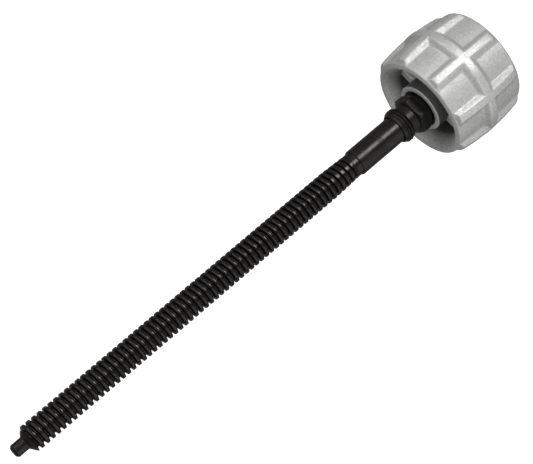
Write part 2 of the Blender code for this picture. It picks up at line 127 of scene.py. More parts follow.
@dataclass
class Block:
    """A stack of rows of a surface round the axis.

    Attributes:
        radius: rows x columns.
        height: rows x columns.
        angle: rows x columns.
        tone: rows x columns, from -1 where shade is painted darkest, over 0, to 1 where it wears off.
    """

    radius: np.ndarray
    height: np.ndarray
    angle: np.ndarray
    tone: np.ndarray

    @classmethod
    def of(cls, radius: Any, height: Any, angle: np.ndarray, tone: Any = 0.0) -> "Block":
        """Spread rows and angles over one grid.

        Args:
            radius: for each row as a column of one, or for each point.
            height: likewise.
            angle: for each column as a row of one, or for each point.
            tone: a number, or like radius.

        Returns:
            The block.
        """
        full = np.broadcast_arrays(radius, height, angle, tone)
        return cls(*[np.array(values, float) for values in full])

    @classmethod
    def turned(cls, outline: np.ndarray, angle: np.ndarray, tone: Any = 0.0) -> "Block":
        """Carry an outline round the axis: radius and height are the same at every angle."""
        return cls.of(outline[:, :1], outline[:, 1:], angle[None, :], tone)

    @classmethod
    def stacked(cls, blocks: Sequence["Block"]) -> "Block":
        """Join blocks that have the same columns, in order."""
        names = ("radius", "height", "angle", "tone")
        return cls(*[np.concatenate([getattr(block, name) for block in blocks])
                     for name in names])

    def points(self) -> np.ndarray:
        """x = radius cos angle, y = radius sin angle, z = height."""
        return np.stack([self.radius * np.cos(self.angle), self.radius * np.sin(self.angle),
                         self.height], axis=-1)


def grid_mesh(name: str, block: Block, crease: float = 38.0) -> bpy.types.Mesh:
    """Make a mesh from a block.

    Neighbouring rows and columns are joined by quads. Points that lie together are then welded,
    which closes seams and poles, and the faces are turned outwards.

    Args:
        name: the mesh's name.
        block: its rows and columns, in millimetres; the tone is kept as the attribute "tone".
        crease: the corner, in degrees, above which an edge is shaded sharp.

    Returns:
        The mesh, in metres.
    """
    rows, columns = block.tone.shape
    index = np.arange(rows * columns).reshape(rows, columns)
    quads = np.stack([index[:-1, :-1], index[:-1, 1:], index[1:, 1:], index[1:, :-1]], -1)
    quads = quads.reshape(-1, 4)
    mesh = bpy.data.meshes.new(name)
    mesh.vertices.add(rows * columns)
    mesh.vertices.foreach_set("co", (block.points() * MM).astype(np.float32).ravel())
    mesh.loops.add(quads.size)
    mesh.loops.foreach_set("vertex_index", quads.astype(np.int32).ravel())
    mesh.polygons.add(len(quads))
    mesh.polygons.foreach_set("loop_start", np.arange(0, quads.size, 4, dtype=np.int32))
    mesh.attributes.new("tone", "FLOAT", "POINT").data.foreach_set(
        "value", block.tone.astype(np.float32).ravel())
    mesh.update(calc_edges=True)
    bm = bmesh.new()
    bm.from_mesh(mesh)
    bmesh.ops.remove_doubles(bm, verts=bm.verts, dist=WELD)
    bmesh.ops.dissolve_degenerate(bm, dist=WELD, edges=bm.edges)
    bmesh.ops.recalc_face_normals(bm, faces=bm.faces)
    bm.to_mesh(mesh)
    bm.free()
    mesh.shade_smooth()
    mesh.set_sharp_from_angle(angle=math.radians(crease))
    edges = np.empty(len(mesh.loops), np.int32)
    mesh.loops.foreach_get("edge_index", edges)
    open_edges = np.count_nonzero(np.bincount(edges) != 2)
    LOG.info("%s: %d faces, %d open edges", name, len(mesh.polygons), open_edges)
    return mesh


def ring_section(inner: float, outer: float, low: float, high: float,
                 rounding: float) -> np.ndarray:
    """Rounded rectangle of a washer, from the middle of its inner side all the way round.

    Args:
        inner, outer: the radii.
        low, high: the heights.
        rounding: of the four corners.

    Returns:
        The section as (radius, height) rows.
    """
    middle = (low + high) / 2
    return filleted([(inner, middle, 0), (inner, low, rounding), (outer, low, rounding),
                     (outer, high, rounding), (inner, high, rounding), (inner, middle, 0)])


def columns_round(count: int) -> np.ndarray:
    """Angles round a full turn, the first and the last in the same place."""
    return np.linspace(0.0, TAU, count + 1)


@dataclass(frozen=True)
class Thread:
    """A single-start right-hand thread, in millimetres.

    The radius falls from the crest to the root along flanks whose corners are rounded:
    radius = crest radius - depth * soft_ramp((|u| - crest / 2) / flank), where u is the axial
    distance from the nearest crest.

    Attributes:
        crest_radius: radius over the crests.
        depth: from crest to root.
        pitch: from crest to crest.
        crest: axial width of a crest's flat.
        root: axial width of a root's flat.
        crest_height: height of the middle of a crest at angle 0.
        rounding: of the flanks' corners, as a share of a flank's width.
    """

    crest_radius: float
    depth: float
    pitch: float
    crest: float
    root: float
    crest_height: float
    rounding: float

    @property
    def flank(self) -> float:
        """Axial width of one flank."""
        return (self.pitch - self.crest - self.root) / 2

    def offset(self, angle: np.ndarray, height: np.ndarray) -> np.ndarray:
        """Axial distance from the nearest crest, which climbs one pitch a turn."""
        return wrapped(height - self.crest_height - self.pitch * angle / TAU, self.pitch)

    def radius(self, angle: np.ndarray, height: np.ndarray) -> np.ndarray:
        """Radius of the thread at an angle and a height."""
        t = (np.abs(self.offset(angle, height)) - self.crest / 2) / self.flank
        return self.crest_radius - self.depth * soft_ramp(t, self.rounding)

    def rows(self, low: float, high: float, angle: np.ndarray) -> np.ndarray:
        """Heights of rows that follow the helix, cut off flat at low and high.

        Each pitch has rows at the middle of its crest and root and round both flanks' corners.
        A row's height is its own height plus pitch * angle / full turn, held between low and
        high, so the rows close on themselves one pitch on.

        Args:
            low: height of the thread's lower end.
            high: height of its upper end.
            angle: of each column, from 0 to a full turn.

        Returns:
            rows x columns of heights.
        """
        corners = np.array([-self.rounding, 0.0, self.rounding])
        t = np.concatenate([corners, 1.0 + corners])
        side = self.crest / 2 + t * self.flank
        one = np.concatenate([[0.0], side, [self.pitch / 2], self.pitch - side[::-1]])
        first = math.floor((low - self.crest_height) / self.pitch) - 1
        last = math.ceil((high - self.crest_height) / self.pitch) + 1
        turns = np.arange(first, last)[:, None] * self.pitch
        base = (self.crest_height + turns + one[None, :]).ravel()
        return np.clip(base[:, None] + self.pitch * angle[None, :] / TAU, low, high)

    def cut(self, height: np.ndarray, angle: np.ndarray, limit: np.ndarray,
            ends: tuple[float, float], wear: float = 0.0, soft: float = 0.0) -> Block:
        """Turn rows into the thread's surface, its radius held under a limit.

        Args:
            height: of the rows, as rows() gives them.
            angle: of each column.
            limit: the largest radius at each point.
            ends: radius of the lowest and of the highest row.
            wear: distance from a crest's middle over which the tone falls from 1 to 0, or 0
                for no tone.
            soft: how far the corner where the thread meets the limit is rounded.

        Returns:
            The block.
        """
        grid = np.broadcast_to(angle[None, :], height.shape)
        radius = self.radius(grid, height)
        radius = -soft_max(-radius, -limit, soft) if soft else np.minimum(radius, limit)
        radius = np.where(height <= height.min() + SAME, ends[0], radius)
        radius = np.where(height >= height.max() - SAME, ends[1], radius)
        tone = np.clip(1.0 - np.abs(self.offset(grid, height)) / wear, 0.0, 1.0) if wear else 0.0
        return Block.of(radius, height, grid, tone)


# --- Shader maths ---

class Value:
    """A socket that carries one number a point, with Python's operators."""

    def __init__(self, graph: "Graph", socket: Any) -> None:
        """Hold the socket and the graph that it belongs to."""
        self.graph = graph
        self.socket = socket

    def _math(self, operation: str, first: Any, second: Any = None) -> "Value":
        """Wrap a Math node for an operation on one or two terms."""
        inputs = {0: first} if second is None else {0: first, 1: second}
        return self.graph.number("ShaderNodeMath", {"operation": operation}, inputs)

    def __add__(self, other: Any) -> "Value":
        """Sum."""
        return self._math("ADD", self, other)

    __radd__ = __add__

    def __sub__(self, other: Any) -> "Value":
        """Difference."""
        return self._math("SUBTRACT", self, other)

    def __rsub__(self, other: Any) -> "Value":
        """Difference from a plain number."""
        return self._math("SUBTRACT", other, self)

    def __mul__(self, other: Any) -> "Value":
        """Product."""
        return self._math("MULTIPLY", self, other)

    __rmul__ = __mul__

    def clamped(self) -> "Value":
        """Held between 0 and 1."""
        return self.graph.number("ShaderNodeClamp", {}, {"Value": self})

    def wave(self) -> "Value":
        """Sine."""
        return self._math("SINE", self)


class Tree:
    """The nodes of a material or of the world."""

    def __init__(self, tree: bpy.types.NodeTree) -> None:
        """Hold the tree that the nodes go into."""
        self.tree = tree

    def node(self, kind: str, settings: dict[str, Any] | None = None,
             inputs: dict[Any, Any] | None = None) -> Any:
        """Add a node.

        Args:
            kind: the node's type.
            settings: its own settings, set first; "stops" sets a colour ramp's stops.
            inputs: a value, a socket or a Value for each input, by name or number.

        Returns:
            The node.
        """
        made = self.tree.nodes.new(kind)
        for key, value in (settings or {}).items():
            if key == "stops":
                ramp = made.color_ramp.elements
                while len(ramp) < len(value):
                    ramp.new(0.5)
                for element, (position, shade) in zip(ramp, value):
                    element.position = position
                    element.color = (shade, shade, shade, 1.0)
            else:
                setattr(made, key, value)
        for key, value in (inputs or {}).items():
            self.feed(made.inputs[key], value)
        return made

    def feed(self, socket: Any, value: Any) -> None:
        """Set an input, or link it.

        Args:
            socket: the input.
            value: a plain value, a socket or a Value.
        """
        value = value.socket if isinstance(value, Value) else value
        if isinstance(value, bpy.types.NodeSocket):
            self.tree.links.new(value, socket)
        else:
            socket.default_value = value


class Graph(Tree):
    """The nodes of one material, with the patterns that the finishes share."""

    def __init__(self, name: str) -> None:
        """Start a material with a Principled shader.

        Args:
            name: the material's name.
        """
        self.material = bpy.data.materials.new(name)
        self.material.use_nodes = True
        super().__init__(self.material.node_tree)
        self.shader = self.tree.nodes["Principled BSDF"]
        self.place = self.node("ShaderNodeTexCoord").outputs["Object"]

    def number(self, kind: str, settings: dict[str, Any], inputs: dict[Any, Any],
               output: Any = 0) -> Value:
        """Add a node as Tree.node does, and wrap one of its outputs."""
        return Value(self, self.node(kind, settings, inputs).outputs[output])

    def noise(self, per_mm: float, detail: float = 3.0, roughness: float = 0.55,
              stretch: Sequence[float] = (1.0, 1.0, 1.0)) -> Value:
        """Fractal noise from 0 to 1.

        Args:
            per_mm: features in a millimetre.
            detail: how many finer layers lie on it.
            roughness: how strong each finer layer is.
            stretch: scale of the pattern along X, Y and Z.

        Returns:
            The noise.
        """
        mapped = self.node("ShaderNodeMapping", {}, {"Vector": self.place, "Scale": stretch})
        return self.number("ShaderNodeTexNoise", {}, {
            "Vector": mapped.outputs[0], "Scale": per_mm / MM, "Detail": detail,
            "Roughness": roughness})

    def cells(self, per_mm: float) -> Value:
        """A random number for each of the cells that fill space, that many in a millimetre."""
        cell = self.node("ShaderNodeTexVoronoi", {}, {"Vector": self.place, "Scale": per_mm / MM})
        return self.number("ShaderNodeSeparateColor", {}, {0: cell.outputs["Color"]})

    def ramp(self, value: Value, stops: Sequence[tuple[float, float]]) -> Value:
        """A value passed through a grey ramp of (position, shade) stops."""
        return self.number("ShaderNodeValToRGB", {"stops": stops}, {0: value})

    def tone(self) -> Value:
        """How exposed the surface is to wear above 0, and how much shade is painted on it below 0, from the
        mesh's own attribute.
        """
        return self.number("ShaderNodeAttribute", {"attribute_name": "tone"}, {}, "Fac")

    def height(self) -> Value:
        """Height along the screw's axis, in metres."""
        return self.number("ShaderNodeSeparateXYZ", {}, {0: self.place}, 2)

    def blend(self, factor: Value, low: Any, high: Any) -> bpy.types.NodeSocket:
        """Mix two colours: low * (1 - factor) + high * factor.

        Args:
            factor: from 0 to 1.
            low: three numbers or a socket, shown where the factor is 0.
            high: likewise, shown where it is 1.

        Returns:
            The colour's socket.
        """
        terms = [colour if isinstance(colour, bpy.types.NodeSocket) else (*colour, 1.0)
                 for colour in (low, high)]
        mix = self.node("ShaderNodeMix", {"data_type": "RGBA"}, {
            0: factor, 6: terms[0], 7: terms[1]})
        return mix.outputs[2]

    def bump(self, height: Value, strength: float, depth_mm: float,
             under: Any = None) -> bpy.types.NodeSocket:
        """Turn a pattern into relief.

        Args:
            height: from 0 to 1.
            strength: of the relief.
            depth_mm: what a height of 1 stands for.
            under: the normal of another bump that this one lies on.

        Returns:
            The normal's socket.
        """
        inputs = {"Height": height, "Strength": strength, "Distance": depth_mm * MM}
        if under is not None:
            inputs["Normal"] = under
        return self.node("ShaderNodeBump", {}, inputs).outputs[0]

    def finish(self, **sockets: Any) -> bpy.types.Material:
        """Feed the shader.

        Args:
            sockets: a value, a socket or a Value for each input, underscores for spaces.

        Returns:
            The material.
        """
        for key, value in sockets.items():
            self.feed(self.shader.inputs[key.replace("_", " ")], value)
        return self.material


# --- Finishes ---

class Marks(Enum):
    """What the tool left on a turned surface: (marks in a millimetre, depth in millimetres)."""

    FINE = (5.0, 0.0020)
    COARSE = (2.6, 0.0040)
    GROUND = (9.0, 0.0008)


@dataclass(frozen=True)
class SilverCoat:
    """Die casting with a fine sparkling silver coat, and a dark colour for the shade painted inside the
    cavity.
    """

    colour: Colour = (0.69, 0.69, 0.68)
    shade: Colour = (0.50, 0.50, 0.495)
    # painted shade: this dark colour is blended in where the tone is below 0, in the cavity and on the hub
    painted_shade: Colour = (0.17, 0.165, 0.16)
    roughness: float = 0.49
    flakes_per_mm: float = 1.2
    grain_depth: float = 0.15

    def material(self, name: str) -> bpy.types.Material:
        """Flakes of varying brightness over an orange-peel grain, brighter on the worn edges, darkened by
        painted shade where the tone is below 0.

        Args:
            name: the material's name.

        Returns:
            The material.
        """
        graph = Graph(name)
        flakes = graph.cells(self.flakes_per_mm)
        cloud = graph.noise(0.11, 4.0, 0.6)
        peel = graph.noise(1.5, 2.0, 0.5)
        edge = graph.tone().clamped()
        # painted shade: the mask is the tone below 0
        painted_shade = (0.0 - graph.tone()).clamped()
        bright = (flakes * 0.6 + cloud * 0.3 + edge * 0.25).clamped()
        base = graph.blend(painted_shade, graph.blend(bright, self.shade, self.colour), self.painted_shade)
        sparkle = graph.ramp(flakes, [(0.0, 0.12), (0.82, 0.0)])
        rough = self.roughness + (cloud - 0.5) * 0.16 + sparkle * 0.6 - edge * 0.05
        grain = graph.bump(peel, 0.6, self.grain_depth)
        glitter = graph.bump(flakes, 0.5, 0.080, grain)
        return graph.finish(Base_Color=base, Metallic=0.55, Roughness=rough, Normal=glitter,
                            Specular_IOR_Level=0.5)


@dataclass(frozen=True)
class BlackOxide:
    """Blackened steel under a thin film of oil, with turning marks round the axis."""

    marks: Marks
    colour: Colour = (0.0072, 0.0062, 0.0053)
    worn: Colour = (0.022, 0.019, 0.017)
    roughness: float = 0.29
    metallic: float = 0.35

    def material(self, name: str) -> bpy.types.Material:
        """Turning marks as fine rings, smudges in the oil, and rubbed crests.

        Args:
            name: the material's name.

        Returns:
            The material.
        """
        graph = Graph(name)
        per_mm, depth = self.marks.value
        smudge = graph.noise(0.16, 4.0, 0.62)
        drift = graph.noise(0.5, 2.0, 0.5, (1.0, 1.0, 0.15))
        rings = (graph.height() * (TAU * per_mm / MM) + drift * 5.0).wave() * 0.5 + 0.5
        speck = graph.noise(3.2, 2.0, 0.6)
        rubbed = (graph.tone() * graph.ramp(speck, [(0.35, 0.0), (0.70, 1.0)])).clamped()
        base = graph.blend(rubbed, self.colour, self.worn)
        rough = (self.roughness + (smudge - 0.5) * 0.30 + (speck - 0.5) * 0.12
                 - graph.tone() * 0.08)
        fine = graph.bump(speck, 0.35, 0.007)
        turned = graph.bump(rings, 0.8, depth, fine)
        return graph.finish(Base_Color=base, Metallic=self.metallic, Roughness=rough.clamped(),
                            Normal=turned)


@dataclass(frozen=True)
class BrightMetal:
    """Plated or uncoated metal with fine rings from turning or stamping."""

    colour: Colour
    dull: Colour
    roughness: float = 0.28

    def material(self, name: str) -> bpy.types.Material:
        """Cloudy colour between two shades, with specks of tarnish.

        Args:
            name: the material's name.

        Returns:
            The material.
        """
        graph = Graph(name)
        cloud = graph.noise(0.35, 4.0, 0.6)
        speck = graph.noise(4.0, 2.0, 0.6)
        base = graph.blend(graph.ramp(cloud, [(0.3, 0.0), (0.7, 1.0)]), self.dull, self.colour)
        rough = self.roughness + (speck - 0.5) * 0.2
        return graph.finish(Base_Color=base, Metallic=1.0, Roughness=rough,
                            Normal=graph.bump(speck, 0.3, 0.01))


# --- Pieces ---

def in_mm(node: str) -> tuple[np.ndarray, np.ndarray]:
    """Lowest and highest corner of a CAD node, in millimetres."""
    low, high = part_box(node)
    return np.array(low) / MM, np.array(high) / MM


def add_object(name: str, data: bpy.types.ID) -> bpy.types.Object:
    """Put a mesh, a camera or a light in the scene under a name.

    Args:
        name: the object's name.
        data: its mesh, camera or light.

    Returns:
        The object.
    """
    made = bpy.data.objects.new(name, data)
    bpy.context.scene.collection.objects.link(made)
    return made


def add_piece(mesh: bpy.types.Mesh, material: bpy.types.Material, body: str, node: str) -> bpy.types.Object:
    """Put a mesh in the scene as a piece that stands for one CAD node.

    Args:
        mesh: the piece's mesh, already in place.
        material: its finish.
        body: the CAD body that it moves with.
        node: the CAD node that it stands for.

    Returns:
        The piece.
    """
    piece = add_object(mesh.name, mesh)
    mesh.materials.append(material)
    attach(piece, body)
    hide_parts(node)
    LOG.info("%s stands for %s on %s", piece.name, node, body)
    return piece


@dataclass
class FeedScrew:
    """The turned screw: tapped end, flatted seat, shank, neck, thread, taper and dog point."""

    diameter: float = 13.0
    pitch: float = 3.0
    depth: float = 1.6
    crest: float = 1.40
    root: float = 0.50
    thread_rounding: float = 0.17
    crest_from_tip: float = 10.5
    neck_radius: float = 5.8
    neck_length: float = 3.0
    shank_length: float = 45.5
    thread_length: float = 188.5
    taper: float = 2.5
    runout_length: float = 13.0
    runout_depth: float = 0.60
    runout_clearance: float = 0.12
    crest_wear: float = 0.75
    corner: float = 0.10
    dog_radius: float = 3.1
    dog_length: float = 5.9
    dog_chamfer: float = 1.0
    seat_radius: float = 5.5
    seat_flat: float = 4.7
    bore_radius: float = 3.4
    bore_top: float = 28.8
    end_chamfer: float = 0.4
    shoulder: float = 36.7
    seat_angle: float = math.radians(9.5)
    ring_heights: tuple[float, ...] = (67.3, 68.9)
    ring_outline: tuple[tuple[float, float], ...] = (
        (0.0, -0.45), (0.07, -0.2), (0.07, 0.2), (0.0, 0.45))
    columns: int = 72

    def build(self) -> bpy.types.Object:
        """Make the screw and dress it.

        Returns:
            The piece.
        """
        low, high = in_mm("feed_screw")
        angle = columns_round(self.columns)
        blocks = [self._inside(low[2], angle), self._seat(low[2], angle), self._shank(angle),
                  self._threaded(high[2], angle), self._dog(high[2], angle)]
        whole = Block.stacked(blocks)
        mesh = grid_mesh("turned_screw", whole)
        return add_piece(mesh, BlackOxide(Marks.FINE).material("black_oxide_screw"),
                         "screw_and_knob", "feed_screw")

    def _inside(self, low: float, angle: np.ndarray) -> Block:
        """The tapped hole, from its drilled point down to the seat's end.

        Args:
            low: height of the seat's end.
            angle: of each column, in radians.

        Returns:
            The block.
        """
        outline = np.array([(0.0, self.bore_top + self.bore_radius),
                            (self.bore_radius, self.bore_top),
                            (self.bore_radius, low + self.end_chamfer),
                            (self.bore_radius + self.end_chamfer, low)])
        return Block.turned(outline, angle)

    def _seat(self, low: float, angle: np.ndarray) -> Block:
        """The seat that drives the knob: a bar cut by two flats, chamfered at its end.

        Args:
            low: height of the seat's end.
            angle: of each column, in radians.

        Returns:
            The block.
        """
        heights = np.array([low, low + self.end_chamfer, self.shoulder])[:, None]
        inset = np.array([self.end_chamfer, 0.0, 0.0])[:, None]
        section = flatted(angle - self.seat_angle, self.seat_radius, self.seat_flat)
        return Block.of(section[None, :] - inset, heights, angle[None, :])

    def _shank(self, angle: np.ndarray) -> Block:
        """The plain shank with its faint rings, each an outline of (depth, height), and neck.

        Args:
            angle: of each column, in radians.

        Returns:
            The block.
        """
        radius = self.diameter / 2
        top = self.shoulder + self.shank_length
        corners = [(radius - 0.5, self.shoulder, 0), (radius, self.shoulder, 0.25),
                   (radius, self.shoulder + 1.0, 0)]
        for height in self.ring_heights:
            corners += [(radius - depth, height + rise, 0.1) for depth, rise in self.ring_outline]
        corners += [(radius, top - 1.2, 0), (radius, top, 0.3), (self.neck_radius, top, 0.25),
                    (self.neck_radius, top + self.neck_length - 0.2, 0)]
        return Block.turned(filleted(corners), angle, 0.15)

    def _threaded(self, tip: float, angle: np.ndarray) -> Block:
        """The thread between the neck and the dog point.

        The radius is the thread's. It is held under a 45 degree lead-in at the neck, under the
        taper at the tip, and under a slow cone where the crests fade out towards the neck.

        Args:
            tip: height of the dog point's end.
            angle: of each column, in radians.

        Returns:
            The block.
        """
        low = self.shoulder + self.shank_length + self.neck_length
        high = low + self.thread_length + self.taper
        thread = Thread(self.diameter / 2, self.depth, self.pitch, self.crest, self.root,
                        tip - self.crest_from_tip, self.thread_rounding)
        height = thread.rows(low, high, angle)
        slope = (self.diameter / 2 - self.dog_radius) / self.taper
        taper = self.dog_radius + slope * (high - height)
        lead = self.neck_radius + (height - low)
        fade = np.clip(1.0 - (height - low) / self.runout_length, 0.0, 1.0)
        clear = self.runout_clearance * (fade <= 0)
        faded = self.diameter / 2 - self.runout_depth * fade + clear
        return thread.cut(height, angle, np.minimum(np.minimum(taper, lead), faded),
                          (self.neck_radius, self.dog_radius), self.crest * self.crest_wear,
                          self.corner)

    def _dog(self, tip: float, angle: np.ndarray) -> Block:
        """The plain dog point and its chamfered end.

        Args:
            tip: height of its end.
            angle: of each column, in radians.

        Returns:
            The block.
        """
        outline = filleted([(self.dog_radius, tip - self.dog_length, 0),
                            (self.dog_radius, tip - self.dog_chamfer, 0.25),
                            (self.dog_radius - self.dog_chamfer, tip, 0.25), (0.0, tip, 0)])
        return Block.turned(outline, angle, 0.35)


@dataclass
class GripKnob:
    """The hollow cast knob: ribs and band outside; rim, cavity, webs and hub inside."""

    radius: float = 28.96
    crown: float = 1.9
    rib_height: float = 2.7
    rib_base: float = 8.8
    rib_top: float = 4.2
    rib_setback: float = 1.0
    rib_end: float = 1.4
    rib_count: int = 8
    rib_angle: float = math.radians(9.5)
    panel_crown: float = 0.8
    rounding: float = 0.32
    edge: float = 1.1
    rib_blend: float = 0.35
    band_blend: float = 0.10
    rim_inner: float = 23.2
    lip: float = 1.2
    mouth_depth: float = 7.0
    mouth_power: float = 1.3
    mouth_radius: float = 18.3
    cavity_radius: float = 16.8
    back_wall: float = 5.0
    hub_radius: float = 11.9
    hub_recess_radius: float = 9.5
    hub_setback: float = 0.9
    hub_recess_depth: float = 3.7
    bore_radius: float = 5.8
    bore_flat: float = 5.0
    back_recess_radius: float = 8.0
    back_recess_depth: float = 10.5
    web_count: int = 4
    web_half: float = 2.5
    web_setback: float = 6.5
    web_edges: tuple[float, ...] = (-0.45, -0.12, 0.12, 0.45)
    web_shares: tuple[float, ...] = (1.0, 0.985, 0.01, 0.0)
    groove_depth: float = 0.35
    length: float = field(init=False, repr=False)
    web_top: float = field(init=False, repr=False)
    foot: np.ndarray = field(init=False, repr=False)
    theta: np.ndarray = field(init=False, repr=False)
    web_step: np.ndarray = field(init=False, repr=False)

    def build(self) -> bpy.types.Object:
        """Make the knob and dress it.

        Returns:
            The piece.
        """
        self.length = in_mm("grip_knob")[1][2]
        self.web_top = self.length - self.hub_setback - self.web_setback
        self.theta, self.web_step = self._columns()
        outside, back = self._outside(), self._back()
        back.radius[-1], back.height[-1] = outside.radius[0], outside.height[0]
        whole = Block.stacked([outside, self._rim(), self._cavity(), self._hub(), back])
        mesh = grid_mesh("knob_casting", whole)
        return add_piece(mesh, SilverCoat().material("silver_casting"), "screw_and_knob",
                         "grip_knob")

    def _side_steps(self) -> np.ndarray:
        """Distances from the middle of a rib, or of the band, where its section needs rows.

        Returns:
            The distances, in order.
        """
        top, base = self.rib_top / 2, self.rib_base / 2
        flank = base - top
        turn = self.rounding * flank
        corner = np.array([-turn, -turn / 2, 0.0, turn / 2, turn])
        return np.concatenate([[0.0, top * 0.45], top + corner, [(top + base) / 2], base + corner])

    def _columns(self) -> tuple[np.ndarray, np.ndarray]:
        """Angles from a rib's middle, and where each column lies on a web's edge.

        The columns follow the ribs. On every other rib the four columns at the rib's foot move
        onto the side of a web inside the cavity: two on top of its edge and two at its foot.

        Returns:
            The angles, and for each the web's share of height there, from 1 on it to 0 off it.
        """
        sector = TAU / self.rib_count
        half_arc = sector / 2 * self.radius
        steps = self._side_steps()
        panel = np.linspace(steps[-1], half_arc, 5)[1:]
        half = np.concatenate([steps, panel]) / self.radius
        one = np.concatenate([-half[:0:-1], half])
        ribs = [one[:-1] + sector * index for index in range(self.rib_count)]
        theta = np.concatenate(ribs + [[ribs[0][0] + TAU]])
        self.foot = half[[8, 9, 10, 11]]
        off = np.abs(wrapped(theta, TAU / self.web_count))
        share = np.interp(off, self.foot, self.web_shares)
        return theta, share

    def _on_web(self, radius: np.ndarray, amount: Any) -> np.ndarray:
        """Angles of the columns in the cavity.

        Args:
            radius: rows x columns, where the points lie.
            amount: from 0 for evenly placed columns to 1 for columns along the webs, for all
                rows or for each as a column of one.

        Returns:
            rows x columns of angles: each of the foot columns goes to asin(half width / radius),
            and those between spread out evenly.
        """
        spacing = TAU / self.web_count
        nearest = np.round(self.theta / spacing) * spacing
        off = self.theta - nearest
        size = np.abs(off)[None, :]
        edges = [np.arcsin(np.clip((self.web_half + extra) / radius, 0.0, 1.0))
                 for extra in self.web_edges]
        knots = [0.0, *self.foot, spacing / 2]
        targets = [np.zeros_like(radius), *edges, np.full_like(radius, spacing / 2)]
        moved = np.zeros_like(radius)
        for i in range(len(knots) - 1):
            share = (size - knots[i]) / (knots[i + 1] - knots[i])
            inside = (share >= 0) & (share <= 1)
            moved = np.where(inside, targets[i] + share * (targets[i + 1] - targets[i]), moved)
        moved = nearest[None, :] + np.sign(off)[None, :] * moved
        return self.rib_angle + (1 - amount) * self.theta[None, :] + amount * moved

    def _side(self, height: np.ndarray) -> tuple[np.ndarray, np.ndarray]:
        """Radius of the panels and of the ribs' tops at a height, both parabolas.

        Args:
            height: of the points.

        Returns:
            The panels' radius and the ribs' radius.
        """
        middle = self.length / 2
        share = (height - middle) / middle
        top = self.radius - self.crown * share ** 2
        floor = self.radius - self.rib_height - self.panel_crown * share ** 2
        return floor, top

    def _outside(self) -> Block:
        """The ribbed side, from the back edge up to the rim's edge.

        relief = larger of the ribs' and the band's ramps; radius = panel + relief * rib height.

        Returns:
            The block.
        """
        middle = self.length / 2
        band = self._side_steps()
        ends = middle - self.rib_setback - self.rib_end * np.array(
            [1.4, 1.15, 1.0, 0.85, 0.7, 0.5, 0.3, 0.15, 0.0, -0.1])
        plain = np.linspace(band[-1], ends[0], 8)[1:-1]
        last = np.array([middle - self.edge])
        half = np.unique(np.round(np.concatenate([band, plain, ends, last]), 5))
        half = half[half <= middle - self.edge + SAME]
        height = (middle + np.concatenate([-half[:0:-1], half]))[:, None]
        floor, top = self._side(height)
        across = np.abs(wrapped(self.theta, TAU / self.rib_count))[None, :] * self.radius
        from_middle = np.abs(height - middle)
        flank = (self.rib_base - self.rib_top) / 2
        side = (across - self.rib_top / 2) / flank
        along = (from_middle - (middle - self.rib_setback - self.rib_end)) / self.rib_end
        rib = 1.0 - soft_ramp(soft_max(side, along, self.rib_blend), self.rounding)
        ring = 1.0 - soft_ramp((from_middle - self.rib_top / 2) / flank, self.rounding)
        relief = np.clip(soft_max(rib, ring, self.band_blend), 0.0, 1.0)
        radius = floor + relief * (top - floor)
        wear = np.clip((relief - 0.75) * 4.0, 0.0, 1.0)
        return Block.of(radius, height, self.rib_angle + self.theta[None, :], wear)

    def _rim(self) -> Block:
        """The rim's rounded outer edge, flat face and rounded inner edge.

        Returns:
            The block.
        """
        outer = self._side(np.array(self.length - self.edge))[0]
        start = self.length - self.lip
        outline = filleted([(outer, self.length - self.edge, 0),
                            (outer - 0.15, self.length - 0.65, 0.4),
                            (self.rim_inner + 0.75, self.length, 0.5),
                            (self.rim_inner - 0.25, self.length - 0.1, 0.5),
                            (self._wall(np.array(start)), start, 0)], 5)
        tone = np.where(np.abs(outline[:, 1:] - self.length) < 0.25, 0.5, 0.1)
        return Block.turned(outline[1:], self.rib_angle + self.theta, tone[1:])

    def _wall(self, height: np.ndarray) -> np.ndarray:
        """Radius of the cavity's wall: straight draft, plus flare * share^power in the mouth.

        Args:
            height: of the points.

        Returns:
            The radius.
        """
        bend = self.length - self.mouth_depth
        draft = (self.mouth_radius - self.cavity_radius) / (bend - self.back_wall)
        flare = self.rim_inner - self.mouth_radius - draft * self.mouth_depth
        share = np.clip((height - bend) / self.mouth_depth, 0.0, 1.0)
        opening = flare * share ** self.mouth_power
        return self.cavity_radius + draft * (height - self.back_wall) + opening

    def _cavity(self) -> Block:
        """The cavity: down its wall, across its floor and the webs' tops, and up the hub, with shade
        painted on it through the tone.

        Returns:
            The block.
        """
        floor = (self.back_wall + self.web_step * (self.web_top - self.back_wall))[None, :]
        share = np.linspace(0.0, 1.0, 9)[:, None]
        start = self.length - self.lip
        upper = start - share * (start - self.web_top)
        # painted shade: tone 0 on the webs' tops and -1 elsewhere below the mouth; in the mouth (-share) it
        # falls from 0 at the lip to -1
        painted_shade = self.web_step[None, :] - 1.0
        mouth = self._rows(self._wall(upper), upper, -share, share ** 2)
        lower = self.web_top - share[1:] * (self.web_top - floor)
        down = self._rows(self._wall(lower), lower, painted_shade)
        across = np.linspace(0.0, 1.0, 7)[1:-1, None]
        wall = self._wall(floor)
        inwards = self._rows(wall + across * (self.hub_radius - wall), floor, painted_shade)
        up = self._rows(self.hub_radius, floor + share * (self.web_top - floor), painted_shade)
        return Block.stacked([mouth, down, inwards, up])

    def _rows(self, radius: Any, height: Any, tone: Any, amount: Any = 1.0) -> Block:
        """Rows inside the cavity, their columns placed by _on_web.

        Args:
            radius, height, tone: a number, a column of one, or a value for each point.
            amount: how far the columns follow the webs, as _on_web takes it.

        Returns:
            The block.
        """
        radius, height, _ = np.broadcast_arrays(radius, height, self.theta[None, :])
        return Block.of(radius, height, self._on_web(radius, amount), tone)

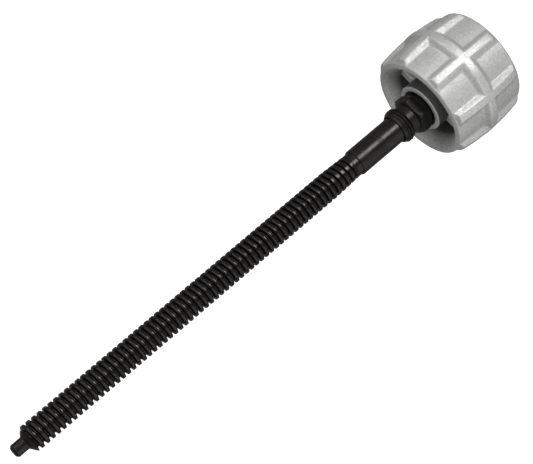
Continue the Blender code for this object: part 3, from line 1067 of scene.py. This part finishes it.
    def _hub(self) -> Block:
        """The hub above the webs, its face, its recess and the flatted bore down the middle.

        Returns:
            The block.
        """
        face = self.length - self.hub_setback
        floor = face - self.hub_recess_depth
        outline = filleted([
            (self.hub_radius, self.web_top, 0), (self.hub_radius, self.web_top + 0.4, 0),
            (self.hub_radius, face - 0.9, 0), (self.hub_radius, face, 0.45),
            (self.hub_recess_radius, face, 0.45), (self.hub_recess_radius, floor, 0.5),
            (self.bore_radius + 0.3, floor, 0)], 5)
        amount = np.clip((face - outline[1:, 1:]) / (face - self.web_top), 0.0, 1.0)
        # painted shade: tone -1 darkens the hub's side and its recess; the face ring gets 0.9, lighter
        tone = np.where(np.abs(outline[1:, 1:] - face) < 0.5, 0.9, -1.0)
        hub = self._rows(outline[1:, :1], outline[1:, 1:], tone, amount)
        plain = self.rib_angle + self.theta[None, :]
        section = flatted(self.theta, self.bore_radius, self.bore_flat)[None, :]
        heights = np.array([floor, floor - 0.3, self.back_recess_depth + 0.3,
                            self.back_recess_depth])[:, None]
        opening = np.array([0.3, 0.0, 0.0, 0.3])[:, None]
        return Block.stacked([hub, Block.of(section + opening, heights, plain)])

    def _back(self) -> Block:
        """The back recess and the closed back face, out to its rounded edge.

        Returns:
            The block.
        """
        outer = self._side(np.array(self.edge))[0]
        recess = self.back_recess_radius
        outline = filleted([
            (recess - 1.5, self.back_recess_depth, 0), (recess, self.back_recess_depth, 0.4),
            (recess, 0.0, 0.5), (recess + 3.0, 0.0, 0.3),
            (recess + 3.6, self.groove_depth, 0.3), (outer - 3.6, self.groove_depth, 0.3),
            (outer - 3.0, 0.0, 0.3), (outer - 0.15, 0.0, 0.9),
            (outer, self.edge, 0)], 5)
        return Block.turned(outline, self.rib_angle + self.theta, 0.1)


@dataclass
class Gland:
    """The gland: rear boss, hexagon, relief neck and external thread on a plain bore."""

    bore: float = 6.8
    boss: float = 8.4
    boss_length: float = 2.8
    hex_half: float = 8.75
    hex_length: float = 5.4
    hex_chamfer: float = 0.86
    hex_corner: float = 1.145
    hex_angle: float = math.radians(12.0)
    neck: float = 7.5
    neck_length: float = 3.7
    thread_radius: float = 8.6
    thread_depth: float = 0.9
    thread_pitch: float = 1.5
    thread_crest: float = 0.30
    thread_root: float = 0.25
    thread_rounding: float = 0.25
    crest_from_front: float = 0.4
    crest_wear: float = 0.5
    lead: float = 1.5
    lead_length: float = 2.1
    columns: int = 144

    def build(self) -> bpy.types.Object:
        """Make the gland and dress it.

        Returns:
            The piece.
        """
        low, high = in_mm("gland_bushing")
        base, top = low[2], high[2]
        angle = columns_round(self.columns)
        hex_low = base + self.boss_length
        hex_high = hex_low + self.hex_length
        start = hex_high + self.neck_length
        rear = Block.turned(filleted([
            (self.bore, base + 0.4, 0), (self.bore + 0.4, base, 0), (self.boss, base, 0.4),
            (self.boss, hex_low, 0.15), (self.boss + 0.05, hex_low, 0)]), angle)
        blocks = [rear, self._hexagon(hex_low, hex_high, angle), Block.turned(filleted([
            (self.neck + 0.6, hex_high, 0), (self.neck, hex_high, 0.3),
            (self.neck, start - 0.2, 0)]), angle), self._thread(start, top, angle)]
        front = Block.turned(filleted([
            (self.thread_radius - self.lead, top, 0), (self.bore + 0.25, top, 0),
            (self.bore, top - 0.25, 0), (self.bore, base + 0.4, 0)]), angle)
        whole = Block.stacked(blocks + [front])
        whole.angle += self.hex_angle
        mesh = grid_mesh("gland_turned", whole, 30.0)
        return add_piece(mesh, BlackOxide(Marks.COARSE, roughness=0.36).material(
            "black_oxide_gland"), "gland", "gland_bushing")

    def _hexagon(self, low: float, high: float, angle: np.ndarray) -> Block:
        """The hexagon: its flats' radius, held under a 30 degree chamfer cone at both ends.

        Args:
            low: height of the lower end.
            high: height of the upper end.
            angle: of each column, in radians.

        Returns:
            The block.
        """
        steps = np.array([0.0, 0.02, 0.2, 0.4, 0.6, 0.8, 1.0]) * self.hex_chamfer
        height = np.concatenate([low + steps, high - steps[::-1]])[:, None]
        from_end = np.minimum(height - low, high - height)
        cone = self.hex_half - 0.25 + from_end * math.tan(math.radians(60))
        flats = np.minimum(polygon_radius(angle, 6, self.hex_half), self.hex_half * self.hex_corner)
        radius = np.minimum(cone, flats[None, :])
        corner = np.clip((flats - self.hex_half * 1.06) * 1.5, 0.0, 1.0)[None, :]
        return Block.of(radius, height, angle[None, :], np.broadcast_to(corner, radius.shape))

    def _thread(self, low: float, high: float, angle: np.ndarray) -> Block:
        """The external thread, between its run-out at the neck and its tapered lead.

        Args:
            low: height of the lower end.
            high: height of the upper end.
            angle: of each column, in radians.

        Returns:
            The block.
        """
        thread = Thread(self.thread_radius, self.thread_depth, self.thread_pitch,
                        self.thread_crest, self.thread_root, high - self.crest_from_front,
                        self.thread_rounding)
        height = thread.rows(low, high, angle)
        lead = self.thread_radius - self.lead + (high - height) * self.lead / self.lead_length
        foot = self.neck + (height - low)
        return thread.cut(height, angle, np.minimum(lead, foot),
                          (self.neck, self.thread_radius - self.lead), self.crest_wear)


@dataclass
class Ring:
    """A flat washer with rounded edges that stands for one CAD node."""

    node: str
    name: str
    body: str
    slot: str
    finish: Any
    rounding: float = 0.18
    inner: float = 6.8
    columns: int = 96

    def build(self) -> bpy.types.Object:
        """Make the washer from its node's box and dress it.

        Returns:
            The piece.
        """
        low, high = in_mm(self.node)
        outline = ring_section(self.inner, high[0], low[2], high[2], self.rounding)
        mesh = grid_mesh(self.name, Block.turned(outline, columns_round(self.columns)))
        return add_piece(mesh, self.finish.material(self.name), self.body, self.node)


@dataclass
class SpringWasher:
    """The split lock washer: a square section carried round an open, slightly sprung ring."""

    inner: float = 3.4
    split: float = 1.0
    rise: float = 0.12
    rounding: float = 0.2
    columns: int = 96

    def build(self) -> bpy.types.Object:
        """Make the washer: each end closes to the middle of its section.

        Returns:
            The piece.
        """
        low, high = in_mm("lock_washer")
        outer = high[1]
        middle = (low[2] + high[2]) / 2
        half = (high[2] - low[2]) / 2 - self.rise
        outline = ring_section(self.inner, outer, -half, half, self.rounding)
        gap = self.split / (self.inner + outer)
        angle = np.linspace(gap, TAU - gap, self.columns + 1)
        angle = np.concatenate([angle[:1], angle, angle[-1:]])
        open_end = np.ones_like(angle)
        open_end[[0, -1]] = 0.0
        centre = (self.inner + outer) / 2
        radius = centre + (outline[:, :1] - centre) * open_end[None, :]
        lift = self.rise * (angle / math.pi - 1.0)
        height = middle + outline[:, 1:] * open_end[None, :] + lift[None, :]
        mesh = grid_mesh("spring_ring", Block.of(radius, height, angle[None, :]))
        finish = BrightMetal((0.60, 0.60, 0.61), (0.42, 0.42, 0.43), 0.34)
        return add_piece(mesh, finish.material("spring_ring"), "screw_and_knob", "lock_washer")


@dataclass
class SocketScrew:
    """The socket head screw at the knob's back, its head ribbed and its thread cut."""

    stem: float = 3.0
    head: float = 5.0
    head_height: float = 6.0
    ridges: int = 48
    ridge_depth: float = 0.14
    socket_half: float = 2.5
    socket_depth: float = 3.0
    pitch: float = 1.0
    thread_depth: float = 0.55
    plain_length: float = 3.0
    tip_chamfer: float = 0.6
    columns: int = 288

    def build(self) -> bpy.types.Object:
        """Make the screw, from its stem's end down to the floor of its socket.

        Returns:
            The piece.
        """
        low, high = in_mm("knob_screw")
        bottom, top = low[2], high[2]
        seat = bottom + self.head_height
        angle = columns_round(self.columns)
        thread = Thread(self.stem, self.thread_depth, self.pitch, 0.15, 0.15, top, 0.2)
        rows = thread.rows(seat + self.plain_length, top, angle)
        end = self.stem - self.tip_chamfer
        threaded = thread.cut(rows, angle, end + (top - rows), (self.stem, end))
        shank = Block.turned(filleted([
            (self.stem, seat + self.plain_length - 0.1, 0), (self.stem, seat, 0.15),
            (self.head - 0.3, seat, 0)]), angle)
        heights = np.array([seat - 0.02, seat - 0.3, bottom + 1.1, bottom + 0.8])[:, None]
        groove = 0.5 - 0.5 * np.cos(self.ridges * angle)
        on = np.array([0.0, 1.0, 1.0, 0.0])[:, None]
        side = self.head - 0.02 - on * self.ridge_depth * groove[None, :]
        ribbed = Block.of(side, heights, angle[None, :], 0.2)
        hexagon = polygon_radius(angle, 6, self.socket_half)[None, :]
        face = Block.turned(filleted([(self.head - 0.02, bottom + 0.7, 0),
                                      (self.head - 0.05, bottom, 0.6),
                                      (self.socket_half * 1.2 + 0.35, bottom, 0)]), angle, 0.3)
        socket = Block.of(
            np.concatenate([np.minimum(hexagon + 0.25, self.socket_half * 1.155 + 0.12), hexagon,
                            hexagon, hexagon * 0.0]),
            bottom + np.array([0.0, 0.25, self.socket_depth, self.socket_depth + 0.9])[:, None],
            angle[None, :])
        rows_down = Block.stacked([Block.of(threaded.radius[::-1], threaded.height[::-1],
                                            threaded.angle[::-1]), shank, ribbed, face, socket])
        tip = Block.turned(np.array([[0.0, top], [end, top]]), angle)
        whole = Block.stacked([tip, rows_down])
        mesh = grid_mesh("socket_screw", whole)
        finish = BlackOxide(Marks.GROUND, roughness=0.3)
        return add_piece(mesh, finish.material("socket_screw"), "screw_and_knob", "knob_screw")


# --- Studio ---

@dataclass(frozen=True)
class Lamp:
    """A square soft light, placed from the camera's point of view.

    Attributes:
        name: what it is for.
        across, up, back: where it stands from the screw's middle, in metres along the camera's
            right, its up and towards it.
        size: its side in metres.
        power: in watts.
    """

    name: str
    across: float
    up: float
    back: float
    size: float
    power: float


@dataclass
class Studio:
    """The camera, the lights, the pale floor and the backdrop."""

    lens: float = 113.78
    sensor: float = 36.0
    screw_direction: tuple[float, float, float] = (0.72498, 0.61303, -0.31399)
    tip_place: tuple[float, float, float] = (-0.09703, -0.08480, -0.70297)
    tip_height: float = 0.2712
    screw_middle: tuple[float, float, float] = (0.0, 0.0, 0.141)
    ambient: float = 0.22
    floor_radius: float = 6.0
    turn: Matrix = field(init=False, repr=False)
    lamps: tuple[Lamp, ...] = (
        Lamp("key", 0.52, 0.75, 0.92, 0.45, 7.0),
        Lamp("fill", -0.60, 0.75, 0.80, 1.5, 6.0),
        Lamp("low", 0.75, -0.80, 0.50, 1.7, 7.0),
        Lamp("front", -0.40, -0.10, 1.10, 0.7, 2.0),
    )

    def build(self) -> None:
        """Set up the view, the lights and the floor."""
        self._camera()
        for lamp in self.lamps:
            self._lamp(lamp)
        self._world()
        self._floor()
        settings = bpy.context.scene.view_settings
        settings.view_transform = "Standard"
        settings.look = "None"

    def _camera(self) -> None:
        """Place the camera from the screw's direction and place in the camera's own axes.

        The screw's axis runs from the tip along screw_direction, and the camera lies in the
        plane of the frame's X and Z axes. So the frame's +Z is minus that direction, its +X is
        the part of the line to the camera across the axis, and +Y is their cross product.
        """
        along = Vector(self.screw_direction).normalized()
        anchor = Vector(self.tip_place)
        across = (-anchor + along * anchor.dot(along)).normalized()
        axis_z = -along
        axis_y = axis_z.cross(across)
        to_camera = Matrix((across, axis_y, axis_z)).transposed()
        shift = anchor - to_camera @ Vector((0.0, 0.0, self.tip_height))
        self.turn = to_camera.transposed()
        data = bpy.data.cameras.new("camera")
        data.lens = self.lens
        data.sensor_width = self.sensor
        data.clip_end = 50.0
        camera = add_object("camera", data)
        camera.matrix_world = Matrix.Translation(-(self.turn @ shift)) @ self.turn.to_4x4()
        bpy.context.scene.camera = camera

    def _lamp(self, lamp: Lamp) -> None:
        """Add one area light that faces the screw's middle.

        Args:
            lamp: its name, place, size and power.
        """
        middle = Vector(self.screw_middle)
        place = middle + self.turn @ Vector((lamp.across, lamp.up, lamp.back))
        data = bpy.data.lights.new(lamp.name, "AREA")
        data.size = lamp.size
        data.energy = lamp.power
        light = add_object(lamp.name, data)
        light.location = place
        light.rotation_euler = (place - middle).to_track_quat("Z", "Y").to_euler()

    def _world(self) -> None:
        """A white backdrop that lights the object more softly than it shows."""
        world = bpy.data.worlds.new("backdrop")
        world.use_nodes = True
        bpy.context.scene.world = world
        graph = Tree(world.node_tree)
        shown, lit = [graph.node("ShaderNodeBackground", {}, {"Color": WHITE, "Strength": power})
                      for power in (1.0, self.ambient)]
        seen = graph.node("ShaderNodeLightPath").outputs["Is Camera Ray"]
        mix = graph.node("ShaderNodeMixShader", {}, {
            0: seen, 1: lit.outputs[0], 2: shown.outputs[0]})
        graph.feed(graph.tree.nodes["World Output"].inputs["Surface"], mix.outputs[0])

    def _floor(self) -> None:
        """A round pale floor under the knob: rings of radius share^2, flat."""
        share = np.linspace(0.0, 1.0, 13)[:, None]
        angle = columns_round(64)
        block = Block.of(share ** 2 * self.floor_radius / MM, 0.0, angle[None, :])
        mesh = grid_mesh("floor", block)
        floor = add_object("floor", mesh)
        graph = Graph("floor")
        grain = graph.noise(0.01, 3.0, 0.5)
        pale = graph.blend(grain, (0.90, 0.90, 0.90), (0.94, 0.94, 0.94))
        mesh.materials.append(graph.finish(
            Base_Color=pale, Roughness=0.85, Emission_Color=WHITE, Emission_Strength=1.0))
        floor.visible_shadow = False
        floor.visible_diffuse = False
        floor.visible_glossy = False


def main() -> None:
    """Build the studio and every piece."""
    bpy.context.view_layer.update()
    Studio().build()
    FeedScrew().build()
    GripKnob().build()
    Gland().build()
    Ring("bearing_washer", "bronze_ring", "washers", "bronze",
         BrightMetal((0.55, 0.36, 0.15), (0.38, 0.24, 0.10))).build()
    Ring("thrust_washer", "hardened_ring", "washers", "black_washer",
         BlackOxide(Marks.GROUND)).build()
    Ring("plain_washer", "flat_ring", "screw_and_knob", "zinc_washers",
         BrightMetal((0.62, 0.62, 0.64), (0.46, 0.46, 0.47)), inner=3.4).build()
    SpringWasher().build()
    SocketScrew().build()


if __name__ == "__main__":
    logging.basicConfig(level=logging.INFO)
    main()
